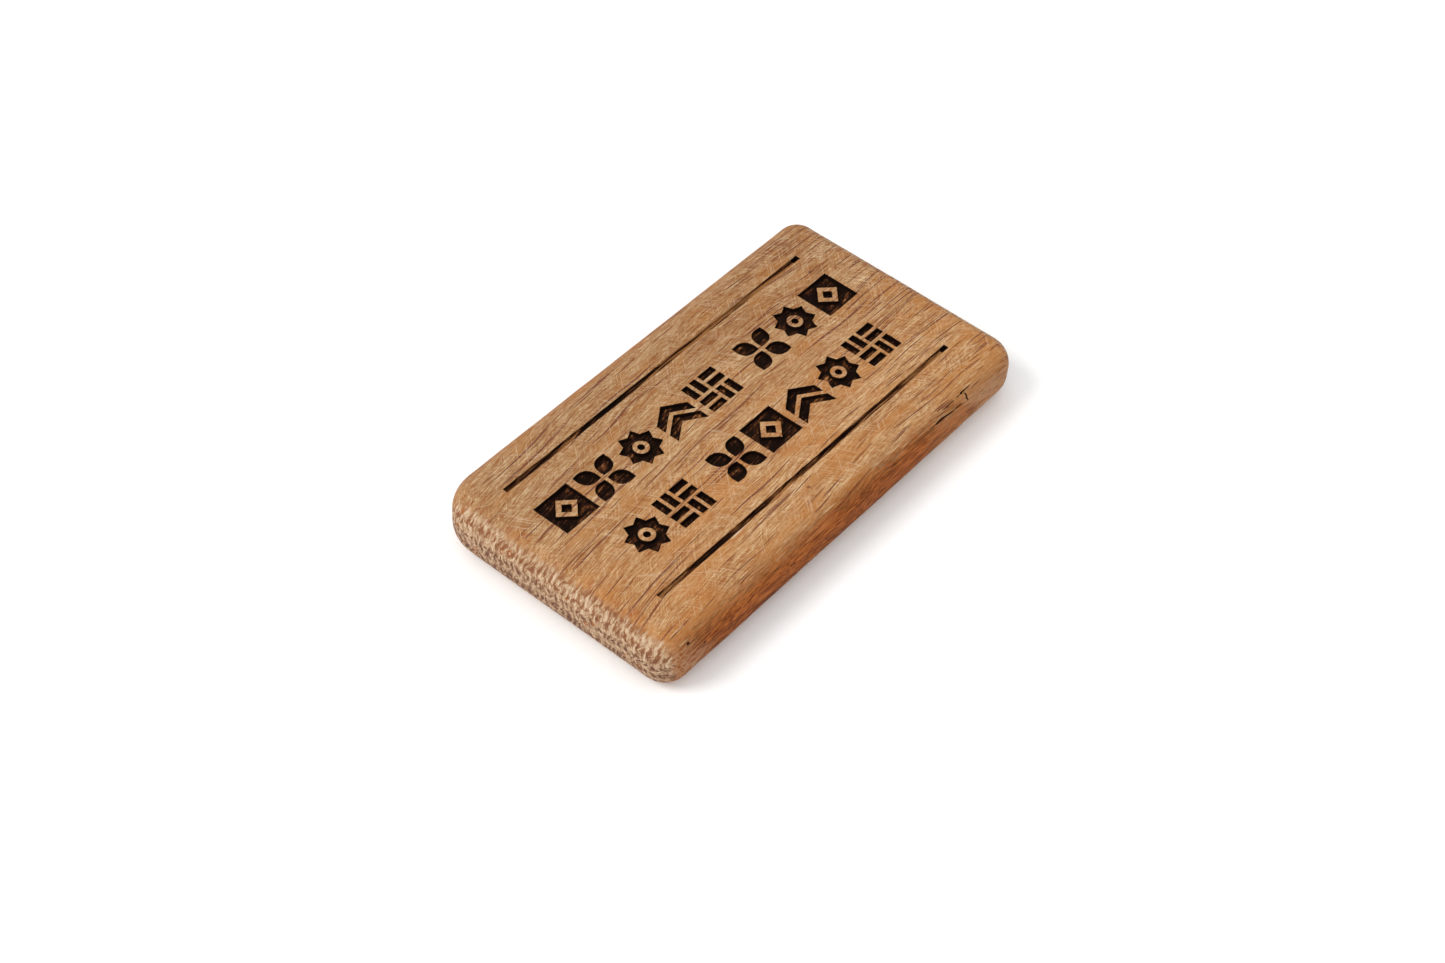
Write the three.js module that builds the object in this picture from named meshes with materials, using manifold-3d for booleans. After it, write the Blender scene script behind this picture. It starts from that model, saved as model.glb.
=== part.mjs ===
// Small engraved hardwood plaque with two disc magnets glued into its back.
// Millimetres. +X runs along the long side, +Y across it and +Z out of the engraved face.
// The origin is the centre of the flat back face.

import * as THREE from 'three';
import { mergeVertices } from 'three/addons/utils/BufferGeometryUtils.js';
import Module from 'manifold-3d';

const wasm = await Module();
wasm.setup();

// Block
const LENGTH = 80;
const WIDTH = 43.3;
const THICKNESS = 9;
const EDGE_RADIUS = 3.6; // round-over along every long and short edge, front and back
const CORNER_RADIUS = { rightTop: 3.7, leftTop: 7.1, leftBottom: 3.9, rightBottom: 4.5 };
const CORNER_STEPS = 5;
const EDGE_STEPS = 6;

// Engraving: two rows of ornaments between two rules
const ENGRAVED_CENTRE = { x: -0.5, y: 0.45 };
const ENGRAVED_DEPTH = 0.6;
const RULE = { length: 64.4, width: 0.85, offset: 13.95, depth: 0.5 };
const RULE_END = { length: 1, depth: 0.7 };
const ROW_OFFSET = 5.6;
const CELL = { width: 6.6, height: 6.3, gap: 1.15, wideGap: 4.6 };
const ROWS = [
  {
    y: ROW_OFFSET,
    groups: [['tile', 'leaves', 'star', 'chevrons', 'parquet'], ['leaves', 'star', 'tile']],
  },
  {
    y: -ROW_OFFSET,
    groups: [['star', 'parquet'], ['leaves', 'tile', 'chevrons', 'star', 'parquet']],
  },
];
const LOZENGES = { outer: 0.66, inner: 0.3 }; // shares of the tile's half size
const LEAF = { start: 0.45, cornerGap: 0.15, belly: 2.7 };
const CHEVRON = { rise: 2.2, gap: 0.8 };
const STAR = { points: 8, outerRadius: 3.45, innerRadius: 2.55, ringRadius: 1.25, dotRadius: 0.55 };
const PARQUET_GAP = 0.6;
const ORNAMENT_CURVE_STEPS = 5;

// Magnets, their blind pockets and the glue around them
const MAGNET = { diameter: 10, thickness: 3, chamfer: 0.25, recess: 0.15, spacing: 52 };
const POCKET = { diameter: 10.6, depth: 3.4 };
const GLUE = { wallClearance: 0.03, lip: 0.7 };
const ROUND_STEPS = 36;

const CUT_OVERSHOOT = 1; // how far each cutter stands clear of the face that it cuts
const WELD_DISTANCE = 1e-4;

const WOOD = { color: 0xbe9164, roughness: 0.62, metalness: 0 };
const NICKEL = { color: 0xc8c6c0, roughness: 0.22, metalness: 1 };
const EPOXY = { color: 0xc9a35a, roughness: 0.3, metalness: 0 };

function solidFrom(geometry) {
  const bare = geometry.index ? geometry.toNonIndexed() : geometry.clone();
  bare.deleteAttribute('normal');
  bare.deleteAttribute('uv');
  const merged = mergeVertices(bare, WELD_DISTANCE);
  const vertProperties = new Float32Array(merged.attributes.position.array);
  const triVerts = new Uint32Array(merged.index.array);
  return new wasm.Manifold(new wasm.Mesh({ numProp: 3, vertProperties, triVerts }));
}

function geometryFrom(solid) {
  const mesh = solid.getMesh();
  const geometry = new THREE.BufferGeometry();
  geometry.setAttribute('position', new THREE.BufferAttribute(new Float32Array(mesh.vertProperties), 3));
  geometry.setIndex(new THREE.BufferAttribute(new Uint32Array(mesh.triVerts), 1));
  geometry.computeVertexNormals();
  return geometry;
}

// Outline of the block at its widest, anticlockwise, with its own radius at each corner.
function blockOutline() {
  const right = LENGTH / 2;
  const top = WIDTH / 2;
  const { rightTop, leftTop, leftBottom, rightBottom } = CORNER_RADIUS;
  const outline = new THREE.Shape();
  outline.moveTo(right, -top + rightBottom);
  outline.lineTo(right, top - rightTop);
  outline.absarc(right - rightTop, top - rightTop, rightTop, 0, Math.PI / 2);
  outline.lineTo(-right + leftTop, top);
  outline.absarc(-right + leftTop, top - leftTop, leftTop, Math.PI / 2, Math.PI);
  outline.lineTo(-right, -top + leftBottom);
  outline.absarc(-right + leftBottom, -top + leftBottom, leftBottom, Math.PI, 1.5 * Math.PI);
  outline.lineTo(right - rightBottom, -top);
  outline.absarc(right - rightBottom, -top + rightBottom, rightBottom, 1.5 * Math.PI, 2 * Math.PI);
  return outline;
}

// Slab whose front and back edges are both rounded over.
function roundedBlock() {
  const geometry = new THREE.ExtrudeGeometry(blockOutline(), {
    depth: THICKNESS - 2 * EDGE_RADIUS,
    curveSegments: CORNER_STEPS,
    bevelEnabled: true,
    bevelThickness: EDGE_RADIUS,
    bevelSize: EDGE_RADIUS,
    bevelOffset: -EDGE_RADIUS,
    bevelSegments: EDGE_STEPS,
  });
  geometry.translate(0, 0, EDGE_RADIUS);
  return geometry;
}

function polygon(points) {
  return new THREE.Shape(points.map(([x, y]) => new THREE.Vector2(x, y)));
}

function rectangle(left, right, low, high) {
  return polygon([[left, low], [right, low], [right, high], [left, high]]);
}

function lozengeOutline(halfWidth, halfHeight) {
  return polygon([[halfWidth, 0], [0, halfHeight], [-halfWidth, 0], [0, -halfHeight]]);
}

// Filled tile with a lozenge left standing in it and a smaller one cut into that.
function tile() {
  const halfWidth = CELL.width / 2;
  const halfHeight = CELL.height / 2;
  const frame = rectangle(-halfWidth, halfWidth, -halfHeight, halfHeight);
  frame.holes.push(lozengeOutline(halfWidth * LOZENGES.outer, halfHeight * LOZENGES.outer));
  return [frame, lozengeOutline(halfWidth * LOZENGES.inner, halfHeight * LOZENGES.inner)];
}

// Four pointed leaves that reach from an open centre to the cell's corners.
function leaves() {
  const { start, cornerGap, belly } = LEAF;
  const reach = Math.hypot(CELL.width, CELL.height) / 2 - cornerGap;
  const middle = (start + reach) / 2;
  const corner = Math.atan2(CELL.height, CELL.width);
  return [corner, Math.PI - corner, Math.PI + corner, -corner].map((turn) => {
    const place = (along, across) => [
      along * Math.cos(turn) - across * Math.sin(turn),
      along * Math.sin(turn) + across * Math.cos(turn),
    ];
    const leaf = new THREE.Shape();
    leaf.moveTo(...place(start, 0));
    leaf.quadraticCurveTo(...place(middle, -belly), ...place(reach, 0));
    leaf.quadraticCurveTo(...place(middle, belly), ...place(start, 0));
    return leaf;
  });
}

// Two chevrons, one above the other, both pointing up.
function chevrons() {
  const halfWidth = CELL.width / 2;
  const top = CELL.height / 2;
  const { rise, gap } = CHEVRON;
  const arm = (CELL.height - rise - gap) / 2;
  return [top, top - arm - gap].map((peak) => polygon([
    [0, peak],
    [-halfWidth, peak - rise],
    [-halfWidth, peak - rise - arm],
    [0, peak - arm],
    [halfWidth, peak - rise - arm],
    [halfWidth, peak - rise],
  ]));
}

// Star with a ring left standing round a dot.
function star() {
  const tips = [];
  for (let step = 0; step < 2 * STAR.points; step += 1) {
    const angle = ((step + 1) * Math.PI) / STAR.points;
    const radius = step % 2 ? STAR.innerRadius : STAR.outerRadius;
    tips.push([radius * Math.cos(angle), radius * Math.sin(angle)]);
  }
  const outline = polygon(tips);
  const ring = new THREE.Path();
  ring.absarc(0, 0, STAR.ringRadius, 0, 2 * Math.PI, true);
  outline.holes.push(ring);
  const dot = new THREE.Shape();
  dot.absarc(0, 0, STAR.dotRadius, 0, 2 * Math.PI);
  return [outline, dot];
}

// Four pairs of short bars, laid crosswise like parquet.
function parquet() {
  const blockWidth = (CELL.width - PARQUET_GAP) / 2;
  const blockHeight = (CELL.height - PARQUET_GAP) / 2;
  const barWidth = (blockWidth - PARQUET_GAP) / 2;
  const barHeight = (blockHeight - PARQUET_GAP) / 2;
  const bars = [];
  for (const [column, row] of [[0, 0], [1, 0], [0, 1], [1, 1]]) {
    const left = -CELL.width / 2 + column * (blockWidth + PARQUET_GAP);
    const low = -CELL.height / 2 + row * (blockHeight + PARQUET_GAP);
    for (const half of [0, 1]) {
      if ((column + row) % 2) {
        const start = left + half * (barWidth + PARQUET_GAP);
        bars.push(rectangle(start, start + barWidth, low, low + blockHeight));
      } else {
        const start = low + half * (barHeight + PARQUET_GAP);
        bars.push(rectangle(left, left + blockWidth, start, start + barHeight));
      }
    }
  }
  return bars;
}

const ORNAMENTS = { tile, leaves, chevrons, star, parquet };

// Cutter that reaches from above the front face down to the given depth.
function engravingCutter(shapes, x, y, depth) {
  const geometry = new THREE.ExtrudeGeometry(shapes, {
    depth: depth + CUT_OVERSHOOT,
    curveSegments: ORNAMENT_CURVE_STEPS,
    bevelEnabled: false,
  });
  geometry.translate(ENGRAVED_CENTRE.x + x, ENGRAVED_CENTRE.y + y, THICKNESS - depth);
  return solidFrom(geometry);
}

function rowCutters({ y, groups }) {
  const count = groups.flat().length;
  const gaps = (count - groups.length) * CELL.gap + (groups.length - 1) * CELL.wideGap;
  let x = -(count * CELL.width + gaps) / 2 + CELL.width / 2;
  const cutters = [];
  for (const group of groups) {
    for (const ornament of group) {
      cutters.push(engravingCutter(ORNAMENTS[ornament](), x, y, ENGRAVED_DEPTH));
      x += CELL.width + CELL.gap;
    }
    x += CELL.wideGap - CELL.gap;
  }
  return cutters;
}

// Thin straight groove with a deeper spot at its right-hand end.
function ruleCutters(y) {
  const end = RULE.length / 2;
  const edge = RULE.width / 2;
  const groove = rectangle(-end, end, -edge, edge);
  const spot = rectangle(end - RULE_END.length, end, -edge, edge);
  return [engravingCutter([groove], 0, y, RULE.depth), engravingCutter([spot], 0, y, RULE_END.depth)];
}

// Cylinder along Z between two heights.
function roundBar(radius, low, high) {
  const geometry = new THREE.CylinderGeometry(radius, radius, high - low, ROUND_STEPS);
  geometry.rotateX(Math.PI / 2);
  geometry.translate(0, 0, (low + high) / 2);
  return geometry;
}

function pocketCutter(x) {
  return solidFrom(roundBar(POCKET.diameter / 2, -CUT_OVERSHOOT, POCKET.depth).translate(x, 0, 0));
}

function woodBlock() {
  let block = solidFrom(roundedBlock());
  const cutters = [
    ...ROWS.flatMap(rowCutters),
    ...ruleCutters(RULE.offset),
    ...ruleCutters(-RULE.offset),
    pocketCutter(-MAGNET.spacing / 2),
    pocketCutter(MAGNET.spacing / 2),
  ];
  for (const cutter of cutters) {
    block = block.subtract(cutter);
  }
  const mesh = new THREE.Mesh(geometryFrom(block), new THREE.MeshStandardMaterial(WOOD));
  mesh.name = 'wood_block';
  return mesh;
}

// Turns a profile of [radius, height] points about Z.
function turned(profile) {
  const points = profile.map(([radius, height]) => new THREE.Vector2(radius, height));
  return new THREE.LatheGeometry(points, ROUND_STEPS).rotateX(Math.PI / 2);
}

// Disc magnet with a small chamfer on both rims, sunk a little below the back face.
function magnet(name, x) {
  const radius = MAGNET.diameter / 2;
  const low = MAGNET.recess;
  const high = MAGNET.recess + MAGNET.thickness;
  const geometry = turned([
    [0, low],
    [radius - MAGNET.chamfer, low],
    [radius, low + MAGNET.chamfer],
    [radius, high - MAGNET.chamfer],
    [radius - MAGNET.chamfer, high],
    [0, high],
  ]);
  const mesh = new THREE.Mesh(geometry, new THREE.MeshStandardMaterial(NICKEL));
  mesh.name = name;
  mesh.position.x = x;
  return mesh;
}

// Set glue: a bed on the pocket's floor and the thin sleeve that rose round the magnet.
function glue(name, x) {
  const outer = POCKET.diameter / 2 - GLUE.wallClearance;
  const inner = MAGNET.diameter / 2 + GLUE.wallClearance;
  const bed = MAGNET.recess + MAGNET.thickness;
  const geometry = turned([
    [0, bed],
    [inner, bed],
    [inner, GLUE.lip],
    [outer, GLUE.lip],
    [outer, POCKET.depth],
    [0, POCKET.depth],
  ]);
  const mesh = new THREE.Mesh(geometry, new THREE.MeshStandardMaterial(EPOXY));
  mesh.name = name;
  mesh.position.x = x;
  return mesh;
}

const plaque = new THREE.Group();
plaque.add(woodBlock());
for (const [side, x] of [['left', -MAGNET.spacing / 2], ['right', MAGNET.spacing / 2]]) {
  plaque.add(magnet(`magnet_${side}`, x));
  plaque.add(glue(`adhesive_${side}`, x));
}

export default plaque;
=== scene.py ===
"""Looks of a small engraved hardwood plaque with two disc magnets set into its back."""

import math

import bmesh
import bpy
import numpy as np
from mathutils import Matrix, Vector, kdtree, noise
from mathutils.geometry import delaunay_2d_cdt


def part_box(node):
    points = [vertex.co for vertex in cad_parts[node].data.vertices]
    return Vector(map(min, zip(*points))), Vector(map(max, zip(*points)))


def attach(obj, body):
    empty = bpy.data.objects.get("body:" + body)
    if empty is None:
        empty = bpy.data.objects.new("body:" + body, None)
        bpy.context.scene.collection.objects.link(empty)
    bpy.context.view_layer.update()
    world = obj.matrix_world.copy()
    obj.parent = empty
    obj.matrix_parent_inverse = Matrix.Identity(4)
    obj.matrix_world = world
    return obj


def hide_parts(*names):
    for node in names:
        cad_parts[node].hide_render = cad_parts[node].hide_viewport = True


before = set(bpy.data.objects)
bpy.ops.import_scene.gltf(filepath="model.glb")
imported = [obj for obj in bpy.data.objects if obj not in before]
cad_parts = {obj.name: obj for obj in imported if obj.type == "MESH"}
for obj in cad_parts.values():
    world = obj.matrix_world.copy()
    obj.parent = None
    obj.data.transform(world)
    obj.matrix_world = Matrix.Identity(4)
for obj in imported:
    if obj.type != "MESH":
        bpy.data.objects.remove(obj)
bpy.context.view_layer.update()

MM = 0.001

# Block, in millimetres
BLOCK_LOW, BLOCK_HIGH = (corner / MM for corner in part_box("wood_block"))
THICKNESS = BLOCK_HIGH.z - BLOCK_LOW.z
EDGE_RADIUS = 3.6
CORNER_RADII = (3.7, 7.1, 3.9, 4.5)  # +X+Y, -X+Y, -X-Y, +X-Y

# Mesh spacings, in millimetres
OUTLINE_STEP = 0.55
CORNER_STEPS = 16
EDGE_STEPS = 12
RIM_STEP = 0.2
POCKET_RIM_STEP = 0.3
FLOOR_STEP = 0.26
FACE_STEP = 0.5
BACK_STEP = 1.4
SHARP_ANGLE = math.radians(38)
LEAST_BEND = math.radians(2)
CORNER_BEND = math.radians(42)

# Worn places on the -Y edge: x in millimetres, and degrees round the edge from the front face
FINE_STRETCHES = ((17.5, 28.8), (-35.9, -31.6))
FINE_STEP = 0.1
FINE_TURN = (36, 74)
SPLITS = (
    (((17.9, 57.5), (19.6, 58.8), (21, 58.5), (22.6, 60.5)), 0.18, 0.45),
    (((21.6, 60.5), (23, 62), (24.4, 62.6), (26.2, 64)), 0.17, 0.38),
    (((21.5, 44.5), (23.5, 43), (24.6, 43.2)), 0.12, 0.2),
    (((25.0, 43), (26.4, 41.5), (28.5, 40.8)), 0.18, 0.45),
    (((26.7, 45), (27.0, 53), (26.8, 60), (27.1, 70)), 0.17, 0.34),
)
DENTS = (  # x, degrees, half length, half height, depth
    (25.0, 52, 1.2, 0.4, -0.07),
    (-35.2, 52, 0.28, 0.2, 0.2),
    (-32.5, 80, 0.45, 0.14, 0.12),
    (20.5, 59, 0.32, 0.2, 0.16),
    (26.3, 41.5, 0.3, 0.2, 0.14),
)

# Marks on the front face, in millimetres
PIN_KNOTS = (((-3.8, -16, 9), (0.4, 0.3, 0.5)), ((30.3, 11, 9), (0.45, 0.4, 0.5)))  # centre, half lengths
SPLINTER = (-16.4, -13.98, 9)

# Grain: the growth rings' tilt about the long axis in degrees, then lengths in millimetres
GROWTH_TILT = (19, 0, 0)
END_ROW_PITCH = 1.9
END_STROKE_PITCH = 1.1

# Engraving, in millimetres
ENGRAVED_DEPTH = 0.6
RULE_DEPTH = 0.5
RULE_END_DEPTH = 0.75
RULE_END_LENGTH = 1
RULE_LENGTH_OVER = 40  # a recess longer than this is a rule
RULE_MARGIN = 0.3
HALO = 0.13  # width of the narrow band of triangles round each recess
LIP_DROP = 0.035
WALL_SLOPE = 0.07
WALL_LEVELS = 3
WOBBLE = 0.045
POCKET_WOBBLE = 0.01
CURVE_STEPS = 6

# How charred each place is, from 0 to 1, with painted shade in the walls' share
ORNAMENT_CHAR = 0.82
RULE_CHAR = 0.5
# Extra darkness on recess walls: partly char and partly painted shade
WALL_CHAR_AND_SHADE = 0.2  # added to the floor's
LIP_CHAR = 0.32

# Magnets and glue, in millimetres
MAGNET_EDGE = 0.3
MAGNET_EDGE_STEPS = 6
GLUE_GAP = 0.02  # between a magnet's back and the bed under it
SLEEVE_GAP = 0.03  # between a magnet's rim and the sleeve round it
LIP_STEPS = 8
LIP_RISE = 0.08
LIP_HOLLOW = 0.1
MAGNET_UNEVEN = 0.012
GLUE_UNEVEN = 0.05
ROUND_SEGMENTS = 96

# Camera: angles in degrees, lengths in metres, lens in millimetres
CAMERA_AZIMUTH = -53.51
CAMERA_ELEVATION = 47.76
CAMERA_ROLL = 4.57
CAMERA_DISTANCE = 0.36898
CAMERA_AIM = (0.00164, 0.00331)
CAMERA_LENS = 63.6

# Studio, in metres
FLOOR_HALF = 1.5
FLOOR_Z = -0.05 * MM
SKY_STRENGTH = 0.92
LIGHTS = (  # name, azimuth, elevation, distance, size, watts, colour
    ("key", -125, 46, 1.0, 0.5, 5.0, (1.0, 0.98, 0.95)),
    ("fill", -80, 35, 1.2, 0.8, 1.5, (1.0, 1.0, 1.0)),
)


def srgb(red, green, blue):
    """Linear colour of an 8-bit display colour."""
    values = [c / 255 for c in (red, green, blue)]
    return tuple(v / 12.92 if v <= 0.04045 else ((v + 0.055) / 1.055) ** 2.4 for v in values) + (1.0,)


# ---------------------------------------------------------------- camera, floor and lights

def direction(azimuth, elevation):
    """Unit vector at those angles in degrees; azimuth 0 is -Y, and 90 is +X."""
    azimuth, elevation = math.radians(azimuth), math.radians(elevation)
    flat = math.cos(elevation)
    return Vector((math.sin(azimuth) * flat, -math.cos(azimuth) * flat, math.sin(elevation)))


def add_camera():
    back = direction(CAMERA_AZIMUTH, CAMERA_ELEVATION)
    level = (-back).cross(Vector((0, 0, 1))).normalized()
    upright = level.cross(-back)
    roll = math.radians(CAMERA_ROLL)
    right = level * math.cos(roll) + upright * math.sin(roll)
    up = upright * math.cos(roll) - level * math.sin(roll)
    camera = bpy.data.objects.new("camera", bpy.data.cameras.new("camera"))
    camera.data.sensor_width = 36
    camera.data.lens = CAMERA_LENS
    camera.data.clip_start = 0.01
    place = back * CAMERA_DISTANCE - right * CAMERA_AIM[0] - up * CAMERA_AIM[1]
    turn = Matrix((right, up, back)).transposed().to_4x4()
    camera.matrix_world = Matrix.Translation(place) @ turn
    bpy.context.scene.collection.objects.link(camera)
    bpy.context.scene.camera = camera


def add_area_light(name, azimuth, elevation, distance, size, energy, colour):
    back = direction(azimuth, elevation)
    lamp = bpy.data.lights.new(name, "AREA")
    lamp.shape = "DISK"
    lamp.size = size
    lamp.energy = energy
    lamp.color = colour
    light = bpy.data.objects.new(name, lamp)
    turn = back.to_track_quat("Z", "Y").to_matrix().to_4x4()
    light.matrix_world = Matrix.Translation(back * distance) @ turn
    bpy.context.scene.collection.objects.link(light)


def add_floor():
    mesh = bpy.data.meshes.new("floor")
    corners = [(x * FLOOR_HALF, y * FLOOR_HALF, FLOOR_Z) for x, y in ((-1, -1), (1, -1), (1, 1), (-1, 1))]
    mesh.from_pydata(corners, [], [(0, 1, 2, 3)])
    floor = bpy.data.objects.new("floor", mesh)
    bpy.context.scene.collection.objects.link(floor)
    material = bpy.data.materials.new("floor")
    material.use_nodes = True
    shader = material.node_tree.nodes["Principled BSDF"]
    shader.inputs["Base Color"].default_value = (0.96, 0.96, 0.96, 1)
    shader.inputs["Roughness"].default_value = 0.9
    mesh.materials.append(material)


def add_studio():
    add_floor()
    world = bpy.data.worlds.new("studio")
    world.use_nodes = True
    background = world.node_tree.nodes["Background"]
    background.inputs["Color"].default_value = (1, 1, 1, 1)
    background.inputs["Strength"].default_value = SKY_STRENGTH
    bpy.context.scene.world = world
    for light in LIGHTS:
        add_area_light(*light)
    bpy.context.scene.view_settings.view_transform = "Standard"


# ---------------------------------------------------------------- mesh code

class Build:
    """Points, faces, a char value for each face corner, with painted shade in it on recess walls, and a
    split value for each point, which marks painted shade in splits and pits.
    """

    def __init__(self):
        self.points = []
        self.split = []
        self.faces = []
        self.char = []

    def vertex(self, point, split=0.0):
        self.points.append(tuple(point))
        self.split.append(split)
        return len(self.points) - 1

    def face(self, corners, char=None):
        self.faces.append(tuple(corners))
        self.char.extend(char or [0.0] * len(corners))

    def to_object(self, name):
        mesh = bpy.data.meshes.new(name)
        mesh.from_pydata([tuple(c * MM for c in p) for p in self.points], [], self.faces)
        for kind, domain, values in (("char", "CORNER", self.char), ("split", "POINT", self.split)):
            attribute = mesh.attributes.new(kind, "FLOAT", domain)
            attribute.data.foreach_set("value", np.array(values, np.float32))
        mesh.polygons.foreach_set("use_smooth", [True] * len(mesh.polygons))
        mesh.set_sharp_from_angle(angle=SHARP_ANGLE)
        made = bpy.data.objects.new(name, mesh)
        bpy.context.scene.collection.objects.link(made)
        return made


def wave(point, scale, seed=0.0):
    """Smooth noise from -1 to 1 at a point in millimetres."""
    return noise.noise(Vector(point) * scale + Vector((seed, 2 * seed, 3 * seed)))


def outline_points():
    """Points on the block's widest outline, anticlockwise, each with its outward direction."""
    right, top = BLOCK_HIGH.x, BLOCK_HIGH.y
    centres = []
    for radius, (sx, sy) in zip(CORNER_RADII, ((1, 1), (-1, 1), (-1, -1), (1, -1))):
        centres.append((Vector((sx * (right - radius), sy * (top - radius))), radius))
    found = []
    for corner, (centre, radius) in enumerate(centres):
        for step in range(CORNER_STEPS + 1):
            angle = (corner + step / CORNER_STEPS) * math.pi / 2
            outward = Vector((math.cos(angle), math.sin(angle)))
            found.append((centre + outward * radius, outward))
        start, outward = found[-1]
        next_centre, next_radius = centres[(corner + 1) % 4]
        end = next_centre + outward * next_radius
        stops = [start, end]
        if outward.y < -0.99:
            inner = [Vector((x, end.y)) for stretch in sorted(FINE_STRETCHES) for x in stretch]
            stops = [start, *inner, end]
        for i, (a, b) in enumerate(zip(stops, stops[1:])):
            count = max(1, round((b - a).length / (FINE_STEP if i % 2 else OUTLINE_STEP)))
            found += [(a.lerp(b, step / count), outward) for step in range(count) if i or step]
    return found


def edge_profile():
    """(inset, height, degrees) down the side, from the front face's rim to the back face's."""
    coarse = 90 / EDGE_STEPS
    fine = math.degrees(FINE_STEP / EDGE_RADIUS)
    low, high = FINE_TURN
    turns = [*np.arange(0, low, coarse), *np.arange(low, high, fine), *np.arange(high, 90, coarse), 90]
    profile = []
    for turn in turns:
        angle = math.radians(turn)
        inset = EDGE_RADIUS * (1 - math.sin(angle))
        profile.append((inset, THICKNESS - EDGE_RADIUS * (1 - math.cos(angle)), turn))
    for step in range(EDGE_STEPS + 1):
        angle = step / EDGE_STEPS * math.pi / 2
        inset = EDGE_RADIUS * (1 - math.cos(angle))
        profile.append((inset, EDGE_RADIUS * (1 - math.sin(angle)), 90 + math.degrees(angle)))
    return profile


def along_chain(here, chain):
    """Distance from a place to the nearest point of a chain, and that point's share of its length."""
    total = sum((b - a).length for a, b in zip(chain, chain[1:]))
    nearest, share, done = math.inf, 0.0, 0.0
    for a, b in zip(chain, chain[1:]):
        length = (b - a).length
        t = min(max((here - a).dot(b - a) / length ** 2, 0), 1)
        distance = (here - a.lerp(b, t)).length
        if distance < nearest:
            nearest, share = distance, (done + t * length) / total
        done += length
    return nearest, share


def worn(x, turn):
    """Depth of the wear at a place on the -Y edge, and how much of it is an open split."""
    here = Vector((x, EDGE_RADIUS * math.radians(turn)))
    depth = split = 0.0
    for points, half_width, deep in SPLITS:
        chain = [Vector((px, EDGE_RADIUS * math.radians(degrees))) for px, degrees in points]
        nearest, share = along_chain(here, chain)
        taper = math.sin(math.pi * (0.04 + 0.92 * share)) ** 0.45
        opened = taper * (0.76 + 0.45 * wave((x * 1.3, deep * 9, 0), 1.0, 2.2))
        amount = math.exp(-(nearest / max(half_width * opened, 0.02)) ** 2)
        depth += deep * opened * amount
        split = max(split, amount * opened)
    for px, degrees, half_length, half_height, deep in DENTS:
        along = (here.x - px) / half_length
        across = (here.y - EDGE_RADIUS * math.radians(degrees)) / half_height
        amount = math.exp(-along ** 2 - across ** 2)
        depth += deep * amount
        # Pits are marked like splits, to take the same painted shade
        if deep > 0:
            split = max(split, 0.8 * amount)
    return depth, split


def add_lathe(build, centre, profile, uneven):
    """Turns (radius, height) pairs about a vertical line; a radius of nought is a point on it."""
    rings = []
    for radius, z in profile:
        count = ROUND_SEGMENTS if radius else 1
        ring = []
        for step in range(count):
            angle = 2 * math.pi * step / count
            outward = Vector((math.cos(angle), math.sin(angle), 0))
            bump = uneven * wave(outward * radius, 0.9, centre.x)
            ring.append(build.vertex(Vector((centre.x, centre.y, z + bump)) + outward * radius))
        rings.append(ring)
    for low, high in zip(rings, rings[1:]):
        for step in range(ROUND_SEGMENTS):
            ahead = (step + 1) % ROUND_SEGMENTS
            if len(low) == 1:
                build.face([low[0], high[ahead], high[step]])
            elif len(high) == 1:
                build.face([low[step], low[ahead], high[0]])
            else:
                build.face([low[step], low[ahead], high[ahead], high[step]])


def cad_rims(node, height):
    """Closed loops round the recesses of a CAD node's flat face at that height, in millimetres."""
    mesh = bmesh.new()
    mesh.from_mesh(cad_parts[node].data)
    bmesh.ops.remove_doubles(mesh, verts=mesh.verts, dist=0.002 * MM)

    def is_flat(face):
        return abs(face.normal.z) > 0.9999 and abs(face.calc_center_median().z / MM - height) < 0.01

    follow = {}
    for edge in mesh.edges:
        if len(edge.link_faces) == 2 and is_flat(edge.link_faces[0]) != is_flat(edge.link_faces[1]):
            a, b = (v.index for v in edge.verts)
            follow.setdefault(a, []).append(b)
            follow.setdefault(b, []).append(a)
    points = {v.index: Vector((v.co.x, v.co.y)) / MM for v in mesh.verts if v.index in follow}
    mesh.free()
    loops, left = [], set(follow)
    for start in sorted(follow, key=lambda i: tuple(round(c, 3) for c in points[i])):
        if start not in left:
            continue
        loop, last, here = [], None, start
        while here in left:
            loop.append(here)
            left.discard(here)
            ahead = [i for i in follow[here] if i != last and i in left]
            last, here = here, ahead[0] if ahead else start
        loops.append([points[i] for i in loop])
    # The largest loop is the face's own outline
    return sorted(loops, key=lambda loop: -abs(area(loop)))[1:]


def area(loop):
    """Signed area inside a loop: positive when the loop runs anticlockwise."""
    return 0.5 * sum(a.x * b.y - b.x * a.y for a, b in zip(loop, loop[1:] + loop[:1]))


def smooth_chain(chain):
    """Catmull-Rom points through a chain of three or more points."""
    if len(chain) < 4:
        return chain
    fine = []
    padded = [2 * chain[0] - chain[1], *chain, 2 * chain[-1] - chain[-2]]
    for p0, p1, p2, p3 in zip(padded, padded[1:], padded[2:], padded[3:]):
        for step in range(CURVE_STEPS):
            t = step / CURVE_STEPS
            fine.append(0.5 * (2 * p1 + (p2 - p0) * t + (2 * p0 - 5 * p1 + 4 * p2 - p3) * t * t
                               + (3 * p1 - 3 * p2 + p3 - p0) * t ** 3))
    return fine + [chain[-1]]


def resample(chain, spacing):
    """Evenly spaced points along a chain, without its last one."""
    lengths = [0.0]
    for a, b in zip(chain, chain[1:]):
        lengths.append(lengths[-1] + (b - a).length)
    count = max(1, round(lengths[-1] / spacing))
    found, i = [], 0
    for step in range(count):
        along = lengths[-1] * step / count
        while lengths[i + 1] < along:
            i += 1
        share = (along - lengths[i]) / max(lengths[i + 1] - lengths[i], 1e-9)
        found.append(chain[i].lerp(chain[i + 1], share))
    return found


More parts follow.
